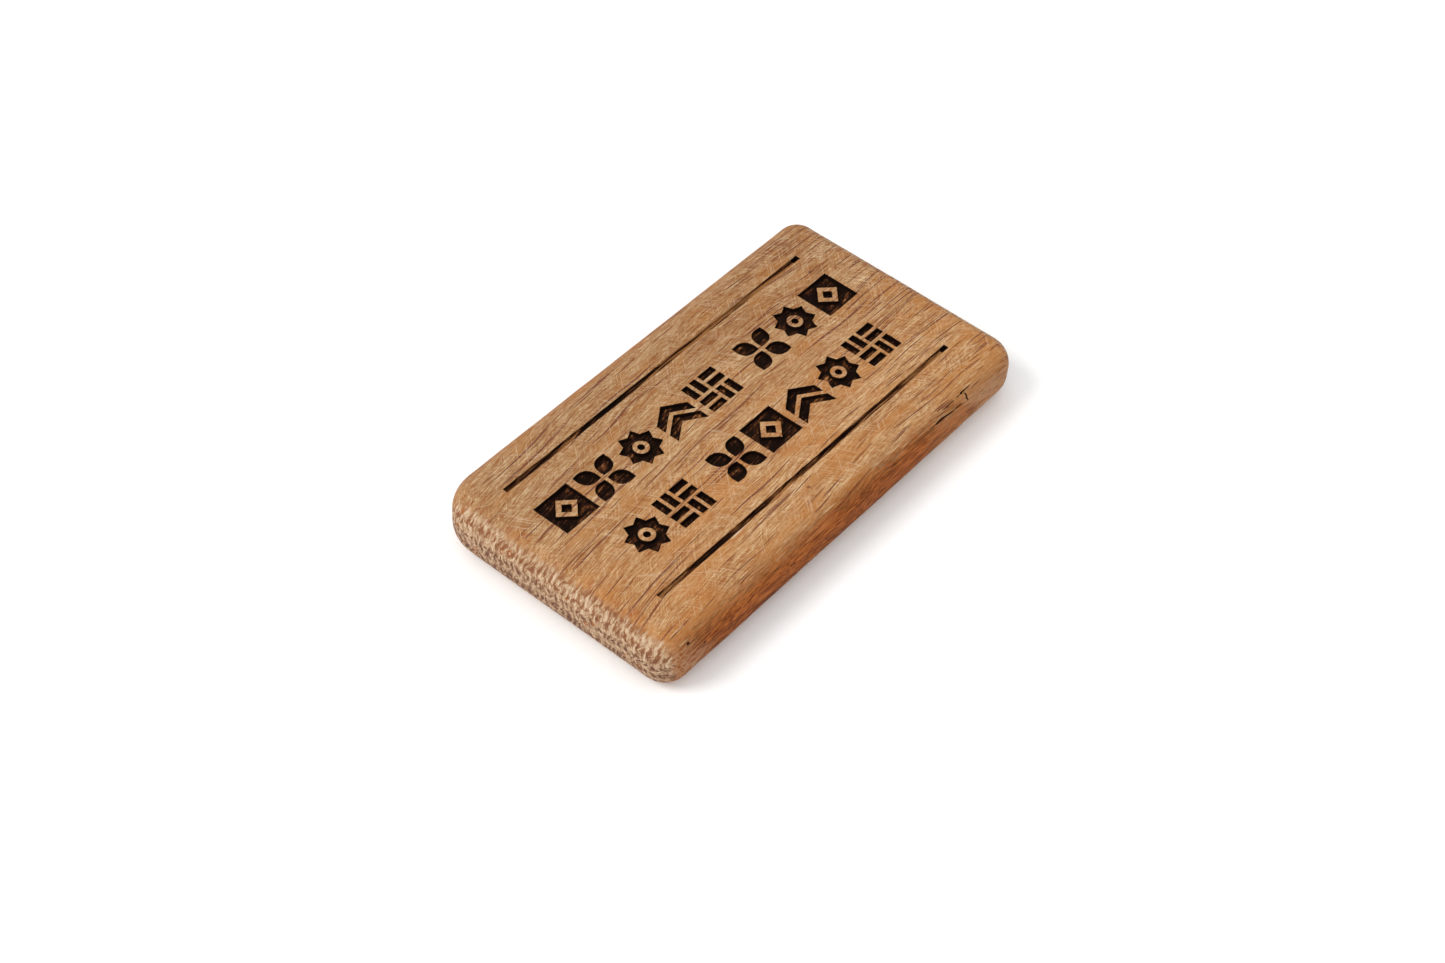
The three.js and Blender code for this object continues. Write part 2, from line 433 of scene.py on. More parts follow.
def fine_rim(loop, spacing, wobble):
    """A CAD rim with its curves smoothed, its corners kept and a slight unevenness, anticlockwise."""
    if area(loop) < 0:
        loop = loop[::-1]
    bends = [(here - before).angle(after - here)
             for before, here, after in zip(loop[-1:] + loop[:-1], loop, loop[1:] + loop[:1])]
    loop = [p for p, bend in zip(loop, bends) if bend > LEAST_BEND]
    bends = [bend for bend in bends if bend > LEAST_BEND]
    count = len(loop)
    corners = [i for i, bend in enumerate(bends) if bend > CORNER_BEND]
    fine = []
    if corners:
        for a, b in zip(corners, corners[1:] + [corners[0] + count]):
            fine += resample(smooth_chain([loop[i % count] for i in range(a, b + 1)]), spacing)
    else:
        ring = smooth_chain(loop[-3:] + loop + loop[:3])
        fine = resample(ring[3 * CURVE_STEPS:-2 * CURVE_STEPS], spacing)
    for i, p in enumerate(fine):
        along = wave((p.x * 0.6, p.y * 2.2, 0), 1.0, 4.1)
        across = wave((p.x * 0.9, p.y * 1.4, 5), 1.0, 9.7)
        fine[i] = p + Vector((along, 0.7 * across)) * wobble
    return fine


def inside_count(points, loops):
    """How many of the loops each point lies in."""
    total = np.zeros(len(points), int)
    for loop in loops:
        ring = np.array([(p.x, p.y) for p in loop])
        low, high = ring.min(0), ring.max(0)
        near = np.where(((points >= low) & (points <= high)).all(1))[0]
        if not len(near):
            continue
        x, y = points[near, 0][:, None], points[near, 1][:, None]
        x0, y0 = ring[:, 0][None], ring[:, 1][None]
        x1, y1 = np.roll(ring[:, 0], -1)[None], np.roll(ring[:, 1], -1)[None]
        crosses = (y0 > y) != (y1 > y)
        with np.errstate(divide="ignore", invalid="ignore"):
            at = (x1 - x0) * (y - y0) / (y1 - y0) + x0
        total[near] += (crosses & (x < at)).sum(1) % 2 == 1
    return total


def lattice(low, high, spacing):
    """Slightly jittered triangular lattice over a rectangle."""
    rows = []
    count = int((high[1] - low[1]) / (spacing * 0.866))
    for row in range(count + 1):
        y = low[1] + row * spacing * 0.866
        x = np.arange(low[0] + (row % 2) * spacing / 2, high[0], spacing)
        rows.append(np.stack([x, np.full(len(x), y)], 1))
    points = np.concatenate(rows)
    random = np.random.default_rng(7)
    return points + random.uniform(-0.12, 0.12, points.shape) * spacing


def clear_of(points, others, distance):
    """The points that stay at least that far from all the others."""
    tree = kdtree.KDTree(len(others))
    for i, p in enumerate(others):
        tree.insert((p[0], p[1], 0), i)
    tree.balance()
    return np.array([p for p in points if tree.find((p[0], p[1], 0))[2] >= distance])


def halo_points(loops, fixed, halo):
    """A band of points just outside each recess, so that its charred rim stays narrow."""
    found = []
    for loop in loops:
        others = [other for other in loops if other is not loop]
        nested = inside_count(np.array([(loop[0].x, loop[0].y)]), others)[0]
        outwards = -1 if nested % 2 else 1
        for before, here, after in zip(loop[-1:] + loop[:-1], loop, loop[1:] + loop[:1]):
            tangent = (after - before).normalized()
            found.append(here + Vector((tangent.y, -tangent.x)) * halo * outwards)
    return clear_of(np.array([(p.x, p.y) for p in found]), fixed, halo * 0.8)


def fill_points(border, loops, spacing, floor_spacing, halo):
    """Points of the border and the loops, then loose ones beside the loops, round them and in them."""
    fixed = np.array([(p.x, p.y) for ring in (border, *loops) for p in ring])
    beside = halo_points(loops, fixed, halo) if halo else np.empty((0, 2))
    low, high = fixed.min(0), fixed.max(0)
    wide = lattice(low, high, spacing)
    wide = wide[(inside_count(wide, [border]) == 1) & (inside_count(wide, loops) % 2 == 0)]
    wide = clear_of(wide, np.concatenate([fixed, beside]), spacing * 0.45)
    floors = lattice(low, high, floor_spacing)
    floors = floors[inside_count(floors, loops) % 2 == 1]
    floors = clear_of(floors, fixed, floor_spacing * 0.5)
    return np.concatenate([fixed, beside, wide, floors])


def triangulate(border, loops, points):
    """The points' places, the triangles inside the border, their middles, and each point's sources."""
    edges, start = [], 0
    for ring in (border, *loops):
        edges += [(start + i, start + (i + 1) % len(ring)) for i in range(len(ring))]
        start += len(ring)
    made = delaunay_2d_cdt([Vector(p) for p in points], edges, [], 0, 1e-6, True)
    flat = np.array([(p.x, p.y) for p in made[0]])
    triangles, sources = np.array(made[2]), made[3]
    middle = flat[triangles].mean(1)
    kept = inside_count(middle, [border]) == 1
    return flat, triangles[kept], middle[kept], sources


def edge_sides(triangles):
    """For each edge, given by its two points in rising order, the triangles on it."""
    sides = {}
    for index, (a, b, c) in enumerate(triangles):
        for edge in ((a, b), (b, c), (c, a)):
            sides.setdefault((min(edge), max(edge)), []).append(index)
    return sides


def add_face(build, rim, loops, spacing, floor_spacing, height, up, depth_at, char_at=None, halo=0.0):
    """Fills the block's front or back face inside its rim, with a floor and walls in each recess."""
    border = [Vector(build.points[i][:2]) for i in rim]
    points = fill_points(border, loops, spacing, floor_spacing, halo)
    flat, triangles, middle, sources = triangulate(border, loops, points)
    sunk = inside_count(middle, loops) % 2 == 1
    lip_char, wall_char_and_shade, lip_drop = (LIP_CHAR, WALL_CHAR_AND_SHADE, LIP_DROP) if char_at else (0.0, 0.0, 0.0)

    # Middles of the sunk triangles beside each point of a recess's edge
    beside = {}
    for edge, sides in edge_sides(triangles).items():
        if len(sides) == 2 and sunk[sides[0]] != sunk[sides[1]]:
            deep = sides[0] if sunk[sides[0]] else sides[1]
            for i in edge:
                beside.setdefault(i, []).append(middle[deep])

    face_vertex = {i: rim[j] for i, made_from in enumerate(sources) for j in made_from if j < len(rim)}
    for i in np.unique(triangles[~sunk]):
        if i not in face_vertex:
            x, y = flat[i]
            z = height - up * (lip_drop if i in beside else 0.0) + 0.02 * wave((x, y, 0), 0.12)
            face_vertex[i] = build.vertex((x, y, z))
    floor_vertex = {}
    for i in np.unique(triangles[sunk]):
        x, y = flat[i]
        if i in beside:
            inward = np.mean(beside[i], 0) - flat[i]
            x, y = flat[i] + inward * WALL_SLOPE / max(np.linalg.norm(inward), 1e-6)
        floor_vertex[i] = build.vertex((x, y, height - up * depth_at(x, y, i in beside)))

    # Floor points at a wall take the walls' extra, partly char and partly painted shade
    def floor_char_and_shade(i):
        return char_at(*flat[i]) + (wall_char_and_shade if i in beside else 0.0) if char_at else 0.0

    for triangle, deep in zip(triangles, sunk):
        order = triangle[::up]
        if deep:
            build.face([floor_vertex[i] for i in order], [floor_char_and_shade(i) for i in order])
        else:
            build.face([face_vertex[i] for i in order], [lip_char if i in beside else 0.0 for i in order])
    add_walls(build, triangles, sunk, face_vertex, floor_vertex, up, char_at)


def add_walls(build, triangles, sunk, face_vertex, floor_vertex, up, char_at):
    """Steep walls with slightly uneven sides, from the face down to each recess's floor."""
    columns = {}

    def column(i):
        if i not in columns:
            top, low = Vector(build.points[face_vertex[i]]), Vector(build.points[floor_vertex[i]])
            inner = []
            for step in range(1, WALL_LEVELS):
                p = top.lerp(low, step / WALL_LEVELS)
                p.x += 0.02 * wave(p, 2.5, 3.3)
                p.y += 0.02 * wave(p, 2.5, 7.7)
                inner.append(build.vertex(p))
            columns[i] = [face_vertex[i], *inner, floor_vertex[i]]
        return columns[i]

    face_edges = edge_sides(triangles[~sunk])
    for corners in triangles[sunk]:
        for a, b in zip(corners, np.roll(corners, -1)):
            if (min(a, b), max(a, b)) not in face_edges:
                continue
            left, right = column(a), column(b)
            # A wall's value is the floor's char plus the walls' extra: partly char, partly painted shade
            char = char_at(*build.points[left[0]][:2]) + WALL_CHAR_AND_SHADE if char_at else 0.0
            for upper, lower in zip(range(WALL_LEVELS), range(1, WALL_LEVELS + 1)):
                quad = [left[upper], right[upper], right[lower], left[lower]]
                build.face(quad[::up], [char] * 4)


def engraved_floor(rules):
    """Two functions for the engraved floor: its depth and how charred it is at a point."""
    end_x = rules[0][1].x - RULE_END_LENGTH

    def in_rule(y):
        return any(low.y - RULE_MARGIN < y < high.y + RULE_MARGIN for low, high in rules)

    def depth(x, y, at_wall):
        base = ENGRAVED_DEPTH
        if in_rule(y):
            base = RULE_END_DEPTH if x > end_x else RULE_DEPTH
        ridges = 0.05 * wave((x * 0.5, y * 2.4, 0), 1.0, 1.5)
        ridges += 0.03 * wave((x * 2.5, y * 5.5, 0), 1.0, 5.1)
        return base + (0.4 if at_wall else 1.0) * ridges

    def char(x, y):
        return RULE_CHAR if in_rule(y) and x < end_x else ORNAMENT_CHAR

    return depth, char


def pocket_depth(x, y, _at_wall):
    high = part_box("adhesive_left")[1].z / MM
    return high + 0.02 * wave((x, y, 0), 1.3)


def add_sides(build):
    """The rounded sides, as rings of points down from the front; gives the first and the last ring."""
    outline = outline_points()
    rings = []
    for inset, z, turn in edge_profile():
        slope = math.radians(turn)
        full = 1 - inset / EDGE_RADIUS
        ring = []
        for point, outward in outline:
            p = point - outward * inset
            push = full * (0.05 * wave((p.x, p.y, z), 0.14) + 0.02 * wave((p.x, p.y, z), 0.5))
            depth, split = 0.0, 0.0
            if outward.y < -0.9 and 0 < turn < 120:
                depth, split = worn(point.x, turn)
            normal = Vector((outward.x * math.sin(slope), outward.y * math.sin(slope), math.cos(slope)))
            moved = Vector((p.x, p.y, z)) + outward.to_3d() * push - normal * depth
            ring.append(build.vertex(moved, split))
        rings.append(ring)
    count = len(outline)
    for upper, lower in zip(rings, rings[1:]):
        for i in range(count):
            j = (i + 1) % count
            build.face([upper[i], lower[i], lower[j], upper[j]])
    return rings[0], rings[-1]


def wood_block():
    """The block with its engraving and its two pockets, as one closed skin."""
    build = Build()
    front, back = add_sides(build)
    engraved = cad_rims("wood_block", THICKNESS)
    rules = []
    for loop in engraved:
        low = Vector((min(p.x for p in loop), min(p.y for p in loop)))
        high = Vector((max(p.x for p in loop), max(p.y for p in loop)))
        if high.x - low.x > RULE_LENGTH_OVER:
            rules.append((low, high))
    depth_at, char_at = engraved_floor(rules)
    rims = [fine_rim(loop, RIM_STEP, WOBBLE) for loop in engraved]
    add_face(build, front, rims, FACE_STEP, FLOOR_STEP, THICKNESS, 1, depth_at, char_at, HALO)
    pockets = [fine_rim(loop, POCKET_RIM_STEP, POCKET_WOBBLE) for loop in cad_rims("wood_block", 0)]
    add_face(build, back, pockets, BACK_STEP, BACK_STEP, 0, -1, pocket_depth)
    return build.to_object("engraved_block")


def box_in_mm(node):
    low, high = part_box(node)
    return low / MM, high / MM


def disc_magnet(side):
    """Plated disc with a small radius worn round both rims."""
    low, high = box_in_mm("magnet_" + side)
    centre, radius = (low + high) / 2, (high.x - low.x) / 2
    lower, upper = [], []
    for step in range(MAGNET_EDGE_STEPS + 1):
        angle = step / MAGNET_EDGE_STEPS * math.pi / 2
        edge = radius - MAGNET_EDGE * (1 - math.sin(angle))
        lower.append((edge, low.z + MAGNET_EDGE * (1 - math.cos(angle))))
        upper.append((edge, high.z - MAGNET_EDGE * (1 - math.cos(angle))))
    face = [(radius * share, low.z) for share in (0.0, 0.3, 0.6, 0.85)]
    back = [(radius * share, high.z) for share in (0.6, 0.0)]
    build = Build()
    add_lathe(build, centre, face + lower + upper[::-1] + back, MAGNET_UNEVEN)
    return build.to_object("disc_magnet_" + side)


def set_glue(side):
    """Bed of set glue under the magnet, and the sleeve that rose round it with a hollow lip."""
    low, high = box_in_mm("adhesive_" + side)
    magnet_low, magnet_high = box_in_mm("magnet_" + side)
    centre, outer = (low + high) / 2, (high.x - low.x) / 2
    inner = (magnet_high.x - magnet_low.x) / 2 + SLEEVE_GAP
    bed = magnet_high.z + GLUE_GAP
    lip = []
    for step in range(LIP_STEPS + 1):
        share = step / LIP_STEPS
        hollow = LIP_HOLLOW * math.sin(math.pi * share) ** 0.7
        lip.append((inner + (outer - inner) * share, low.z - LIP_RISE + hollow))
    profile = [(0.0, bed), (inner * 0.6, bed), (inner, bed)]
    profile += lip + [(outer, high.z), (outer * 0.5, high.z), (0.0, high.z)]
    build = Build()
    add_lathe(build, centre, profile, GLUE_UNEVEN)
    return build.to_object("set_glue_" + side)


# ---------------------------------------------------------------- materials

class Shade:
    """Short forms for the shader nodes of one material."""

    def __init__(self, name):
        self.material = bpy.data.materials.new(name)
        self.material.use_nodes = True
        self.tree = self.material.node_tree
        self.shader = self.tree.nodes["Principled BSDF"]

    def put(self, socket, value):
        if isinstance(value, bpy.types.NodeSocket):
            self.tree.links.new(value, socket)
        else:
            socket.default_value = value

    def node(self, kind, **settings):
        made = self.tree.nodes.new(kind)
        for name, value in settings.items():
            setattr(made, name, value)
        return made

    def math(self, operation, *values, clamp=False):
        made = self.node("ShaderNodeMath", operation=operation, use_clamp=clamp)
        for socket, value in zip(made.inputs, values):
            self.put(socket, value)
        return made.outputs[0]

    def add(self, a, b):
        return self.math("ADD", a, b)

    def times(self, a, b):
        return self.math("MULTIPLY", a, b)

    def vector(self, operation, *values):
        made = self.node("ShaderNodeVectorMath", operation=operation)
        for socket, value in zip(made.inputs, values):
            self.put(socket, value)
        return made.outputs[0]

    def split(self, vector):
        made = self.node("ShaderNodeSeparateXYZ")
        self.put(made.inputs[0], vector)
        return made.outputs

    def channels(self, colour):
        made = self.node("ShaderNodeSeparateColor")
        self.put(made.inputs[0], colour)
        return made.outputs

    def join(self, x, y, z):
        made = self.node("ShaderNodeCombineXYZ")
        for socket, value in zip(made.inputs, (x, y, z)):
            self.put(socket, value)
        return made.outputs[0]

    def step(self, value, low, high, kind="SMOOTHSTEP"):
        made = self.node("ShaderNodeMapRange", interpolation_type=kind)
        for name, setting in (("Value", value), ("From Min", low), ("From Max", high)):
            self.put(made.inputs[name], setting)
        return made.outputs[0]

    def noise(self, vector, scale=1.0, detail=2.0, roughness=0.55):
        made = self.node("ShaderNodeTexNoise", noise_dimensions="3D")
        self.put(made.inputs["Vector"], vector)
        made.inputs["Scale"].default_value = scale
        made.inputs["Detail"].default_value = detail
        made.inputs["Roughness"].default_value = roughness
        return made.outputs["Fac"]

    def mix(self, factor, a, b, blend="MIX"):
        made = self.node("ShaderNodeMix", data_type="RGBA", blend_type=blend)
        self.put(made.inputs["Factor"], factor)
        self.put(made.inputs[6], a)
        self.put(made.inputs[7], b)
        return made.outputs[2]

    def ramp(self, value, *stops):
        """Colour along a ramp of (position, colour) stops."""
        made = self.node("ShaderNodeValToRGB")
        elements = made.color_ramp.elements
        while len(elements) < len(stops):
            elements.new(1.0)
        for element, (position, colour) in zip(elements, stops):
            element.position = position
            element.color = colour
        self.put(made.inputs[0], value)
        return made.outputs[0]

    def layered(self, vector, base, *layers):
        """A base value and layers of noise: (times finer than the vector's pattern, strength)."""
        value = base
        for scale, strength in layers:
            centred = self.math("SUBTRACT", self.noise(vector, scale), 0.5)
            value = self.math("MULTIPLY_ADD", centred, strength, value)
        return value

    def attribute(self, name):
        return self.node("ShaderNodeAttribute", attribute_name=name).outputs["Fac"]

    def place(self):
        """Position in the row frame, in millimetres."""
        return self.vector("MULTIPLY", self.node("ShaderNodeTexCoord").outputs["Object"], (1 / MM,) * 3)

    def pattern(self, vector, size, turn=(0, 0, 0), shift=(0, 0, 0)):
        """A place as a pattern sees it that is moved, turned in degrees and that large along its axes."""
        made = self.node("ShaderNodeMapping", vector_type="TEXTURE")
        self.put(made.inputs["Vector"], vector)
        made.inputs["Location"].default_value = shift
        made.inputs["Rotation"].default_value = [math.radians(angle) for angle in turn]
        made.inputs["Scale"].default_value = size
        return made.outputs[0]

    def cells(self, vector, dimensions="3D"):
        """Distance to the nearest of scattered points, and three random values of that point."""
        made = self.node("ShaderNodeTexVoronoi", voronoi_dimensions=dimensions, feature="F1")
        self.put(made.inputs["Vector"], vector)
        made.inputs["Scale"].default_value = 1.0
        return made.outputs["Distance"], self.channels(made.outputs["Color"])

    def slivers(self, vector, chance, soft=0.45, dimensions="2D"):
        """Scattered spindles as long and as wide as the vector's pattern: 1 inside a spindle."""
        distance, pick = self.cells(vector, dimensions)
        reach = self.math("DIVIDE", distance, self.math("MULTIPLY_ADD", pick[0], 0.25, 0.22))
        inside = self.step(reach, 1.0, 1.0 - soft)
        return self.times(inside, self.math("LESS_THAN", pick[1], chance))

    def spot(self, vector, centre, size, turn=0):
        """1 at the middle of an oval mark, nought outside it."""
        length = self.node("ShaderNodeVectorMath", operation="LENGTH")
        self.put(length.inputs[0], self.pattern(vector, size, (0, 0, turn), centre))
        return self.step(length.outputs["Value"], 1.0, 0.5)

    def bump(self, height, distance):
        made = self.node("ShaderNodeBump")
        made.inputs["Strength"].default_value = 1.0
        made.inputs["Distance"].default_value = distance * MM
        self.put(made.inputs["Height"], height)
        self.put(self.shader.inputs["Normal"], made.outputs[0])


STUDIO_TONE = (0.757, 0.74, 0.69)


def toned(red, green, blue):
    """Linear colour that shows as this display colour in the studio's light."""
    return tuple(c * tone for c, tone in zip(srgb(red, green, blue), STUDIO_TONE)) + (1.0,)


WOOD_DEEP = toned(146, 84, 46)
WOOD_ORANGE = toned(168, 108, 64)
WOOD_TAN = toned(184, 137, 94)
WOOD_LIGHT = toned(204, 160, 116)
WOOD_PALE = toned(232, 200, 160)
WOOD_PATCH = toned(192, 127, 68)
WOOD_RUST = toned(166, 92, 52)
WOOD_VESSEL = toned(118, 66, 54)
# Painted shade with a cool painted reflection, multiplied into the +Y half of the front face
BACK_PAINTED_SHADE_AND_REFLECTION = (0.84, 0.87, 0.92, 1)
SCRATCH_PALE = toned(232, 204, 178)
# Long-edge colours: the edges' own deeper, redder tone with painted shade in it
SIDE_DARK = toned(106, 48, 8)
SIDE_BROWN = toned(150, 78, 24)
SIDE_LIGHT = toned(188, 106, 48)
SIDE_GREY = toned(184, 134, 98)
END_DARK = toned(106, 72, 60)
END_BROWN = toned(138, 100, 80)
END_TAN = toned(178, 144, 114)
END_PALE = toned(224, 198, 172)
PORE_RUST = toned(162, 92, 42)
CHAR_BLACK = toned(24, 12, 7)
CHAR_DARK = toned(50, 27, 16)
CHAR_BROWN = toned(106, 62, 34)
CHAR_BARE = toned(180, 126, 78)
# Dark of the side's dashes, and painted shade in the splits and pits
DASH_DARK_AND_SPLIT_SHADE = toned(40, 22, 14)


def round_share(s, coordinate, half_length):
    """How far a place has turned round that pair of edges: nought on the flat face, 1 on the side."""
    reach = s.math("SUBTRACT", s.math("ABSOLUTE", coordinate), half_length - EDGE_RADIUS)
    return s.math("DIVIDE", reach, EDGE_RADIUS, clamp=True)


def face_grain(s, place, raw, grain, fibre):
    """Colour and height of the long grain, with its open vessels and the sanding scratches across it."""
    tone = s.layered(fibre, 0.56, (0.2, 0.25), (0.6, 0.35), (1.8, 0.35), (5.0, 0.6), (10.0, 1.1))
    blotches = s.pattern(place, (5, 2.6, 5))
    flecks = s.layered(blotches, 0.0, (8.5, 0.6))

    # Fine sanding marks in two directions, in clusters on the two flat faces
    off_middle = s.math("ABSOLUTE", s.math("SUBTRACT", raw[2], THICKNESS / 2))
    flat = s.step(off_middle, THICKNESS / 2 - 0.3, THICKNESS / 2 - 0.05)
    for angle, cluster in ((-56, 0.5), (44, 0.7)):
        hatching = s.layered(s.pattern(place, (4.5, 0.24, 1), (0, 0, angle)), 0.0, (1.0, 0.75))
        hatching = s.times(hatching, s.times(s.step(s.noise(blotches, cluster), 0.48, 0.6), flat))
        flecks = s.add(flecks, hatching)
    stops = ((0.12, WOOD_DEEP), (0.32, WOOD_ORANGE), (0.5, WOOD_TAN), (0.68, WOOD_LIGHT), (0.92, WOOD_PALE))
    colour = s.ramp(s.add(tone, flecks), *stops)

    # Orange patches, more of them toward the front and close to the ends
    toward_back = s.step(raw[1], -10.0, 15.0)
    near_end = s.step(s.math("ABSOLUTE", raw[0]), 33.5, 37.5)
    near_front = s.step(raw[1], -17.0, -20.5)
    patch = s.add(s.layered(blotches, 0.52, (0.6, 1.3)), s.layered(fibre, 0.0, (0.9, 0.7)))
    patch = s.add(patch, s.times(s.math("MAXIMUM", near_end, near_front), 0.1))
    patch = s.math("SUBTRACT", patch, s.times(toward_back, 0.09))
    colour = s.mix(s.times(s.step(patch, 0.38, 0.78), 0.6), colour, WOOD_PATCH)
    spots = s.step(s.noise(s.pattern(place, (1.9, 1.1, 1.5)), 1.0, 1.0), 0.56, 0.68)
    colour = s.mix(s.times(s.times(spots, near_end), 0.55), colour, WOOD_RUST)
    # Painted shade with a cool painted reflection: darker and bluer toward the +Y edge
    colour = s.mix(toward_back, colour, BACK_PAINTED_SHADE_AND_REFLECTION, "MULTIPLY")

    # Open vessels: long purplish lines and fine short ones
    long = s.slivers(s.pattern(grain, (24, 0.38, 1), GROWTH_TILT), 0.16)
    more_right = s.math("MULTIPLY_ADD", s.step(raw[0], 0.0, 30.0), 0.2, 0.12)
    short = s.slivers(s.pattern(grain, (8, 0.27, 1), GROWTH_TILT, (31, 17, 0)), more_right)
    broken = s.step(s.noise(fibre, 3.4), 0.3, 0.56)
    long = s.times(long, s.math("MULTIPLY_ADD", broken, 0.35, 0.65))
    vessels = s.math("MAXIMUM", long, s.times(short, broken))
    colour = s.mix(s.times(vessels, 0.92), colour, WOOD_VESSEL)

    # Two pin knots, and a splinter lifted beside the front rule
    for centre, size in PIN_KNOTS:
        colour = s.mix(s.times(s.spot(place, centre, size), 0.75), colour, WOOD_VESSEL)
    colour = s.mix(s.times(s.spot(place, SPLINTER, (2.4, 0.24, 0.4), 5), 0.8), colour, SCRATCH_PALE)

    # A few longer pale scratches, in clusters on the two flat faces
    scratches = 0.0
    for angle, chance, cluster in ((-62, 0.22, 0.47), (50, 0.2, 0.61), (-40, 0.16, 0.79)):
        lines = s.slivers(s.pattern(place, (7, 0.19, 1), (0, 0, angle), (angle, 0, 0)), chance, 0.7)
        lines = s.times(lines, s.step(s.noise(blotches, cluster), 0.4, 0.62))
        scratches = s.math("MAXIMUM", scratches, lines)
    colour = s.mix(s.times(s.times(scratches, flat), 0.5), colour, SCRATCH_PALE)
    return colour, s.math("SUBTRACT", s.times(tone, 0.9), s.times(vessels, 0.8))


def side_grain(s, place, raw, fibre, turned_y, colour):
    """Long edges: deeper and redder, with painted shade that is strongest on the -Y edge, greyer at both
    ends, with dark dashes and pale torn fibres.
    """
    late = s.times(s.step(raw[0], 14.0, 22.0), 0.22)
    side = s.step(s.math("SUBTRACT", turned_y, late), 0.24, 1.08)
    # The -Y edge takes all of this colour and the +Y edge a little over half: the difference is painted
    # shade on the -Y edge
    side = s.times(side, s.math("MULTIPLY_ADD", s.step(raw[1], 5.0, -5.0), 0.45, 0.55))
    tone = s.layered(fibre, 0.5, (0.5, 0.9), (1.3, 1.0), (4.2, 1.6), (9.0, 2.8))
    tone = s.math("SUBTRACT", tone, s.times(s.step(raw[2], 5.2, 2.4), 0.3))
    deep = s.ramp(tone, (0.15, SIDE_DARK), (0.5, SIDE_BROWN), (0.85, SIDE_LIGHT))
    grey = s.ramp(tone, (0.1, SIDE_BROWN), (0.3, SIDE_GREY), (0.8, END_TAN))

    # The borders of the two grey ends slant down toward the back face
    lower = s.math("SUBTRACT", 6.0, raw[2])
    right = s.math("SUBTRACT", raw[0], s.math("MULTIPLY_ADD", lower, 0.9, 27.5))
    left = s.math("MULTIPLY_ADD", raw[0], -0.6, s.math("MULTIPLY_ADD", lower, 0.5, -20.6))
    reach = s.add(s.math("MAXIMUM", left, right), s.layered(fibre, 0.0, (0.7, 5.0), (3.0, 3.0)))
    deep = s.mix(s.times(s.step(reach, -2.2, 1.8), 0.9), deep, grey)
    colour = s.mix(side, colour, deep)

    # Dark dashes, slanting marks across the fibres, and pale torn fibres along the rounding
    dashes = s.slivers(s.pattern(place, (2.4, 0.3, 0.3)), 0.1, dimensions="3D")
    colour = s.mix(s.times(s.times(dashes, side), 0.8), colour, DASH_DARK_AND_SPLIT_SHADE)
    marks = s.slivers(s.pattern(place, (3.6, 3, 0.24), (0, 52, 0), (4, 9, 2)), 0.3, dimensions="3D")
    colour = s.mix(s.times(s.times(marks, side), 0.45), colour, SIDE_DARK)
    torn = s.slivers(s.pattern(place, (5, 0.4, 0.4), shift=(7, 3, 1)), 0.16, dimensions="3D")
    torn = s.times(torn, s.times(s.step(turned_y, 0.1, 0.3), s.step(turned_y, 0.85, 0.7)))
    return s.mix(s.times(torn, 0.6), colour, WOOD_PALE)


def end_grain(s, place, raw):
    """Cut fibre ends: rows of short dark strokes between pale ones, and pores with rusty rims."""
    # Ragged strokes, taller toward the front face
    rows = s.pattern(place, (8, 5, 1.15), (3, 0, 0))
    tall = s.times(s.math("MAXIMUM", s.math("SUBTRACT", raw[2], 5.5), 0.0), -0.65)
    bent = s.vector("ADD", place, s.join(0.0, s.layered(rows, 0.0, (0.7, 1.2), (2.0, 0.5)), tall))
    strokes = s.pattern(bent, (7, 0.5, 0.58), (-5, 0, 0))
    tone = s.layered(strokes, 0.48, (1.0, 0.75), (2.1, 0.7), (4.5, 0.9))

    # Rows one above the other, and strokes side by side in them
    sway = s.layered(s.pattern(place, (9, 6, 4)), 0.0, (1.0, 4.0))
    band = s.math("SINE", s.times(s.add(raw[2], sway), math.tau / END_ROW_PITCH))
    jitter = s.layered(s.pattern(place, (9, 2.4, 1.4)), 0.0, (1.0, 3.4))
    rib = s.math("SINE", s.times(s.add(raw[1], jitter), math.tau / END_STROKE_PITCH))
    tone = s.add(tone, s.times(band, 0.08))
    tone = s.add(tone, s.times(rib, s.math("MULTIPLY_ADD", band, -0.06, 0.13)))
    tone = s.math("SUBTRACT", tone, s.times(s.step(raw[2], 5.6, 3.0), 0.07))
    colour = s.ramp(tone, (0.18, END_DARK), (0.36, END_BROWN), (0.5, END_TAN), (0.82, END_PALE))
    warm = s.times(s.step(raw[2], 4.6, 8.0), s.step(tone, 0.56, 0.36))
    colour = s.mix(s.times(warm, 0.45), colour, WOOD_ORANGE)

    # Pores, pale inside their rims
    distance, pick = s.cells(s.pattern(place, (6, 1.2, 1.2)))
    size = s.math("MULTIPLY_ADD", pick[0], 0.14, 0.2)
    ragged = s.layered(strokes, 0.0, (2.6, 0.3))
    reach = s.math("DIVIDE", s.add(distance, ragged), size)
    chosen = s.math("LESS_THAN", pick[1], 0.13)
    rim = s.times(s.times(s.step(reach, 1.5, 1.0), s.step(reach, 0.35, 0.75)), chosen)
    colour = s.mix(s.times(rim, 0.8), colour, PORE_RUST)
    colour = s.mix(s.times(s.times(s.step(reach, 0.8, 0.4), chosen), 0.5), colour, END_PALE)
    return colour, s.times(tone, 1.5)


